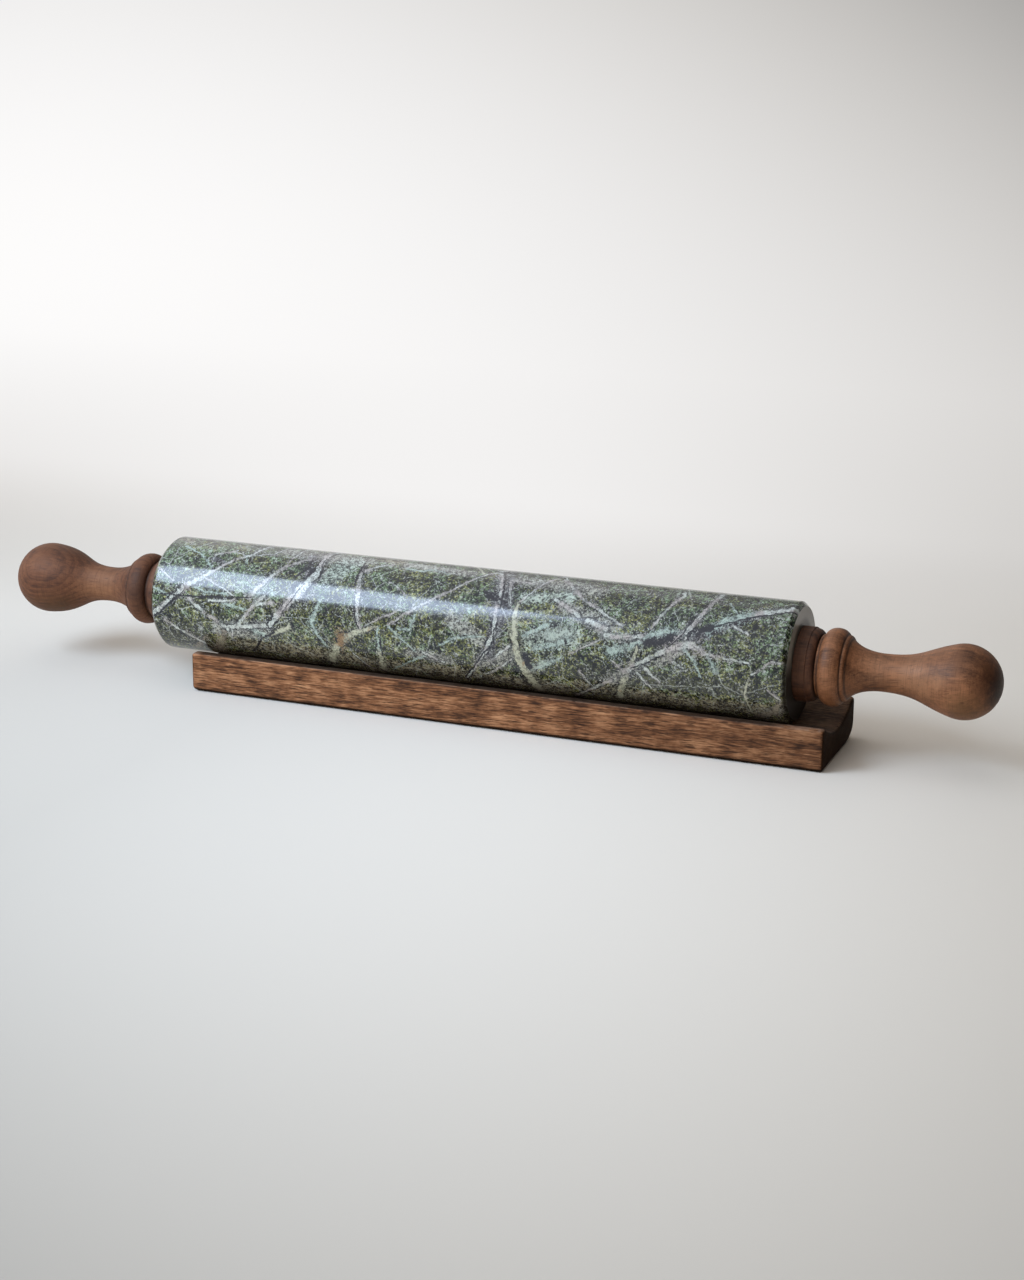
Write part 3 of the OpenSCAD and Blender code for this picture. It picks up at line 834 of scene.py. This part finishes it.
def buildTurnedWood(name, wood):
    material, shader, place = newMaterial(name, IOR=1.48, Specular_IOR_Level=0.35)
    x, y, z = (part * mm for part in wood["centre"])
    grainPlace = centred(place, x, y, axisHeight + z, turn=wood["turn"])
    made = useGroup(woodGrain, Place=grainPlace, RingWidth=wood["ringWidth"], RingWaver=2.5 * mm,
                    StreakLength=6.0, PoreShare=0.11)
    tone = mixValue(0.5, made["Cloud"], made["Streak"])
    tone = mixValue(wood["rings"], tone, made["Ring"])
    tone = mixValue(0.30, tone, made["Fibre"])
    colour = ramp(tone, [(0.36, wood["dark"]), (0.48, wood["middle"]), (0.62, wood["light"])])
    blur = noise(place, 4 * mm, 4, 0.7)
    for middle, size, shade, most in wood["patches"]:
        away = doVector("LENGTH", doVector("SUBTRACT", place, [part * mm for part in middle]))
        away = timesPlus(away, 1 / (size * mm), minus(blur, 0.5))
        colour = mixColour(spread(away, 0.1, 1.1, most, 0.0), colour, (wood | woodShades)[shade])
    colour = mixColour(times(made["Pore"], 0.55), colour, wood["dark"])
    # painted shade in the creases
    station = minus(absolute(splitVector(place)[0]), halfLength)
    for crease in wood["creases"]:
        away = absolute(minus(station, crease * mm))
        colour = mixColour(spread(away, 0.1 * mm, 0.55 * mm, 0.62, 0.0), colour, woodShades["paintedDark"])
    # fine lines left by the turning tool
    lines = noise(centred(place, stretch=(1, 0.03, 0.03)), 0.35 * mm, 4, 0.75)
    colour = mixColour(spread(lines, 0.48, 0.70, 0.0, 0.45), colour, wood["dark"])
    height = minus(times(lines, 0.5), times(made["Pore"], 0.5))
    feedAll(shader, Base_Color=colour, Roughness=spread(made["Fibre"], 0.3, 0.7, *wood["rough"]),
            Normal=bump(height, 0.06 * mm, 0.6))
    return material


# handles and collars, turned like the CAD ones but on finer curves

handle = {
    "reach": 82.6, "faceStation": 8.7, "grooveDiameter": 25.8,
    "beadDiameter": 32.2, "beadStation": 14.5, "beadWidth": 9.2,
    "ridgeDiameter": 27.4, "ridgeWidth": 1.6, "ridgeDrop": 1.2,
    "neckDiameter": 15.6, "neckStation": 34.6,
    "flareSlope": 50, "flarePullRidge": 2.9, "flarePullNeck": 7.5,
    "curveSteps": 24, "steps": 144,
}
knobs = {
    "left": {"diameter": 32.0, "ballTurn": 94, "pullKnob": 16.7, "pullNeck": 15.4},
    "right": {"diameter": 30.8, "ballTurn": 105, "pullKnob": 13.2, "pullNeck": 15.2},
}
collar = {"diameter": 31.2, "width": 8.4, "rimWidth": 5.3, "step": 0.4, "steps": 144}


def curve(a, b, c, d):
    points = []
    for index in range(1, handle["curveSteps"] + 1):
        t = index / handle["curveSteps"]
        s = 1 - t
        points.append(s**3 * a + 3 * s * s * t * b + 3 * s * t * t * c + t**3 * d)
    return points


def handleOutline(knob):
    radius = knob["diameter"] / 2
    middle = handle["reach"] - radius
    turns = 40
    points = []
    for index in range(turns + 1):
        angle = radians(knob["ballTurn"] * index / turns)
        points.append(Vector((middle + radius * cos(angle), radius * sin(angle))))
    shoulder = points[-1]
    angle = radians(knob["ballTurn"])
    neck = Vector((handle["neckStation"], handle["neckDiameter"] / 2))
    beadEnd = handle["beadStation"] + handle["beadWidth"] / 2
    ridgeRadius = handle["ridgeDiameter"] / 2
    flare = Vector((beadEnd + handle["ridgeWidth"], ridgeRadius - handle["ridgeDrop"]))
    points += curve(shoulder, shoulder + knob["pullKnob"] * Vector((-sin(angle), cos(angle))),
                    neck + Vector((knob["pullNeck"], 0)), neck)
    slope = radians(handle["flareSlope"])
    points += curve(neck, neck - Vector((handle["flarePullNeck"], 0)),
                    flare + handle["flarePullRidge"] * Vector((cos(slope), -sin(slope))), flare)
    for index in range(1, 9):
        angle = radians(90 * index / 8)
        points.append(Vector((beadEnd + handle["ridgeWidth"] * cos(angle),
                              ridgeRadius - handle["ridgeDrop"] * (1 - sin(angle)))))
    grooveRadius = handle["grooveDiameter"] / 2
    rise = (handle["beadDiameter"] - handle["grooveDiameter"]) / 2
    for index in range(33):
        angle = radians(180 * index / 32)
        points.append(Vector((handle["beadStation"] + handle["beadWidth"] / 2 * cos(angle),
                              grooveRadius + rise * sin(angle))))
    points.append(Vector((handle["faceStation"], grooveRadius)))
    return points


def socketOutline(side):
    # the hollow for the washer, the nut, the insert and the rod's end
    def reach(node):
        low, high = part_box(node)
        near, far = sorted((abs(low.x), abs(high.x)))
        return (near - halfLength) / mm, (far - halfLength) / mm, (high.y - low.y) / 2 / mm
    washer, nut, insert, rod = (
        reach(side + "_washer"), reach(side + "_lock_nut"), reach(side + "_thread_insert"), reach("axle_rod"))
    room, nutRadius, rodRadius = 0.2, 6.4, 3.0
    return [
        Vector(point) for point in (
            (handle["faceStation"], washer[2] + room), (washer[1] + room, washer[2] + room),
            (washer[1] + room, nutRadius), (insert[0], nutRadius),
            (insert[0], insert[2]), (insert[1], insert[2]),
            (insert[1], rodRadius), (insert[1] + 1.5, rodRadius), (insert[1] + 1.5, 0))
    ]


def standAt(side, points):
    sign = -1 if side == "left" else 1
    return [(sign * (halfLength / mm + p[0]), p[1]) for p in points]


def buildHandle(side):
    outline = standAt(side, handleOutline(knobs[side]) + socketOutline(side))
    piece = turnOnLathe(side + "_handle_turned", outline, handle["steps"])
    smooth(piece, 34)
    material = buildTurnedWood(side + "HandleWood", turnedWood[side])
    finishPiece(piece, side + "_handle", "handles", material)


def buildCollar(side, material):
    foot = handle["grooveDiameter"] / 2
    rim = collar["diameter"] / 2
    shoulder = rim - collar["step"]
    bushLow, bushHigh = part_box(side + "_bush")
    bore = (bushHigh.z - bushLow.z) / 2 / mm
    points = [(0, bore), (0, rim - 0.15), (0.15, rim), (collar["rimWidth"] - 0.15, rim),
              (collar["rimWidth"], rim - 0.15)]
    for index in range(25):
        angle = radians(90 * index / 24)
        points.append((collar["rimWidth"] + (collar["width"] - collar["rimWidth"]) * sin(angle),
                       foot + (shoulder - foot) * cos(angle)))
    points += [(collar["width"], bore), (0, bore)]
    piece = turnOnLathe(side + "_collar_turned", standAt(side, points), collar["steps"])
    smooth(piece, 34)
    finishPiece(piece, side + "_collar", "barrel", material)


collarWood = buildTurnedWood("collarWood", turnedWood["collars"])
for side in ("left", "right"):
    buildHandle(side)
    buildCollar(side, collarWood)


# cradle

cradle = {
    "light": (0.470, 0.245, 0.132),
    "middle": (0.200, 0.086, 0.041),
    "dark": (0.036, 0.015, 0.008),
    # black of painted shade, which also deepens the darker cut ends
    "darkGrainAndShade": (0.010, 0.006, 0.004),
    "worn": (0.40, 0.26, 0.19),
    "grey": (0.300, 0.220, 0.165),
    "ringWidth": 6.5 * mm,
    "troughRadius": 44.0,
    "troughDepth": 6.0,
    "wornWide": 13.0,
    "wornHigh": 5.6,
    "leftCut": 1.3,
    "frontRound": 1.6,
    "skin": 0.02 * mm,
    "voxel": 0.8 * mm,
    "easing": 5,
}


def applyModifier(piece, name, kind, **settings):
    made = piece.modifiers.new(name, kind)
    for label, value in settings.items():
        setattr(made, label, value)
    bpy.context.view_layer.objects.active = piece
    bpy.ops.object.modifier_apply(modifier=name)


def buildCradleWood():
    material, shader, place = newMaterial("cradleWood", IOR=1.48)
    grainPlace = centred(place, 0, 60 * mm, -75 * mm, turn=(0, 1.0, 0.6))
    made = useGroup(woodGrain, Place=grainPlace, RingWidth=cradle["ringWidth"], RingWaver=9 * mm,
                    StreakLength=7.0, PoreShare=0.17)
    tone = mixValue(0.50, made["Streak"], made["Cloud"])
    tone = mixValue(0.08, tone, made["Ring"])
    tone = mixValue(0.38, tone, made["Fibre"])
    colour = ramp(tone, [(0.40, cradle["dark"]), (0.50, cradle["middle"]), (0.62, cradle["light"])])
    colour = mixColour(times(made["Pore"], 0.85), colour, cradle["dark"])
    x, y, z = splitVector(place)
    # the trough is grey and dull
    radius = cradle["troughRadius"]
    reach = distance(y, minus(cradleHigh.z + (radius - cradle["troughDepth"]) * mm, z))
    trough = spread(reach, (radius + 0.3) * mm, (radius + 1.2) * mm, 0.70, 0.0)
    colour = mixColour(trough, colour, mixColour(spread(tone, 0.40, 0.62), cradle["dark"], cradle["grey"]))
    # the cut ends soak up the finish and turn dark, and painted shade darkens them further
    endGrainAndShade = smaller(minus(x, cradleLow.x), minus(cradleHigh.x, x))
    endGrainAndShade = spread(endGrainAndShade, 0.2 * mm, 0.9 * mm, 0.92, 0.0)
    colour = mixColour(endGrainAndShade, colour, cradle["darkGrainAndShade"])
    # the top edges are worn pale, with a painted highlight where the edge catches the light
    nearTop = spread(z, cradleHigh.z - 0.7 * mm, cradleHigh.z - 0.35 * mm)
    rub = spread(noise(place, 4 * mm, 3), 0.38, 0.56)
    colour = mixColour(times(times(nearTop, rub), 0.5), colour, cradle["worn"])
    # painted shadow: the lip under the barrel is black in the barrel's shadow
    lipShadow = times(spread(z, cradleHigh.z - 0.55 * mm, cradleHigh.z - 0.2 * mm),
                spread(absolute(minus(x, 11 * mm)), 128 * mm, 139 * mm, 0.88, 0.0))
    colour = mixColour(lipShadow, colour, cradle["darkGrainAndShade"])
    # it darkens a little towards its free end
    colour = mixColour(spread(x, 30 * mm, 160 * mm, 0.0, 0.22), colour, cradle["dark"])
    # painted shade makes the foot of the block black
    foot = spread(z, 0.9 * mm, 2.2 * mm, 0.97, 0.0)
    colour = mixColour(foot, colour, cradle["darkGrainAndShade"])
    feedAll(shader, Base_Color=colour, Specular_IOR_Level=mixValue(larger(endGrainAndShade, foot), 0.2, 0.02),
            Roughness=spread(made["Fibre"], 0.3, 0.7, 0.6, 0.78),
            Normal=bump(minus(times(made["Fibre"], 0.5), made["Pore"]), 0.15 * mm, 0.7))
    return material


def buildCradle():
    # a hair inside the CAD block, since smoothing can swell it
    skin = Vector((cradle["skin"],) * 3)
    low, high = cradleLow + skin, cradleHigh - skin
    near = 0.01 * mm
    # the worn edge is a round on a narrower block, which is then drawn out to its full width
    narrow = cradle["wornHigh"] / cradle["wornWide"]
    bpy.ops.object.select_all(action="DESELECT")
    bpy.ops.mesh.primitive_cube_add(size=1, location=(0, 0, 0))
    piece = bpy.context.object
    piece.name = piece.data.name = "cradle_block"
    openEdit()
    bpy.ops.mesh.select_all(action="SELECT")
    bpy.ops.transform.resize(value=(high.x - low.x, (high.y - low.y) * narrow, high.z - low.z))
    bpy.ops.transform.translate(value=((low.x + high.x) / 2, 0, (low.z + high.z) / 2))
    selectEdges(piece, lambda at: at.y > 0 and at.z < low.z + near)
    bpy.ops.mesh.bevel(offset=cradle["wornHigh"] * mm, segments=14, affect="EDGES")
    bpy.ops.mesh.select_all(action="SELECT")
    bpy.ops.transform.resize(value=(1, 1 / narrow, 1), center_override=(0, 0, 0))
    # the front bottom edge is eased and casts a dark line
    selectEdges(piece, lambda at: at.y < low.y + near and at.z < low.z + near)
    bpy.ops.mesh.bevel(offset=cradle["frontRound"] * mm, segments=5, affect="EDGES")
    bpy.ops.mesh.select_all(action="SELECT")
    # a small cut starts the rounding of the left bottom edge
    bpy.ops.mesh.bisect(plane_co=(low.x + cradle["leftCut"] * mm, 0, low.z), plane_no=(-1, 0, -1),
                        use_fill=True, clear_outer=True)
    bpy.ops.object.mode_set(mode="OBJECT")

    bpy.ops.object.select_all(action="DESELECT")
    radius = cradle["troughRadius"] * mm
    bpy.ops.mesh.primitive_cylinder_add(
        vertices=360, radius=radius, depth=2 * (high.x - low.x), rotation=(0, pi / 2, 0),
        location=((low.x + high.x) / 2, 0, high.z - cradle["troughDepth"] * mm + radius))
    cutter = bpy.context.object
    bpy.ops.object.select_all(action="DESELECT")
    piece.select_set(True)
    applyModifier(piece, "trough", "BOOLEAN", operation="DIFFERENCE", object=cutter, solver="EXACT")
    bpy.data.objects.remove(cutter)
    applyModifier(piece, "grid", "REMESH", mode="VOXEL", voxel_size=cradle["voxel"])
    applyModifier(piece, "ease", "SMOOTH", factor=0.5, iterations=cradle["easing"])
    smooth(piece, 60)
    finishPiece(piece, "cradle", "cradle", buildCradleWood())


buildCradle()


# steel, brass and nylon inside the pin

metals = {
    "rodSteel": {"nodes": ["axle_rod"], "colour": (0.60, 0.61, 0.62), "rough": (0.22, 0.34)},
    "washerSteel": {"nodes": ["left_washer", "right_washer"], "colour": (0.60, 0.61, 0.62),
                    "rough": (0.30, 0.42)},
    "nutSteel": {"nodes": ["left_lock_nut", "right_lock_nut"], "colour": (0.56, 0.57, 0.59),
                 "rough": (0.30, 0.45)},
    "insertBrass": {"nodes": ["left_thread_insert", "right_thread_insert"], "colour": (0.72, 0.53, 0.24),
                    "rough": (0.25, 0.40)},
}


def buildMetal(name, metal):
    material, shader, place = newMaterial(name, Metallic=1.0)
    # the lathe leaves rings round the axis
    rings = noise(centred(place, stretch=(1, 0.05, 0.05)), 0.25 * mm, 3, 0.7)
    dull = [0.82 * part for part in metal["colour"]]
    feedAll(shader, Base_Color=mixColour(noise(place, 5 * mm, 3), dull, metal["colour"]),
            Roughness=spread(rings, 0.3, 0.7, *metal["rough"]), Normal=bump(rings, 0.01 * mm, 0.5))
    for node in metal["nodes"]:
        finishNode(node, material)


def buildNylon():
    material, shader, place = newMaterial("bushNylon", IOR=1.53, Roughness=0.42, Subsurface_Weight=0.1,
                                          Subsurface_Scale=1 * mm)
    feedAll(shader, Base_Color=mixColour(noise(place, 3 * mm, 3), (0.68, 0.665, 0.61), (0.76, 0.75, 0.70)),
            Normal=bump(noise(place, 0.3 * mm, 2), 0.01 * mm, 0.4))
    for node in ("left_bush", "right_bush"):
        finishNode(node, material)


for name, metal in metals.items():
    buildMetal(name, metal)
buildNylon()
print("inner pieces finished")
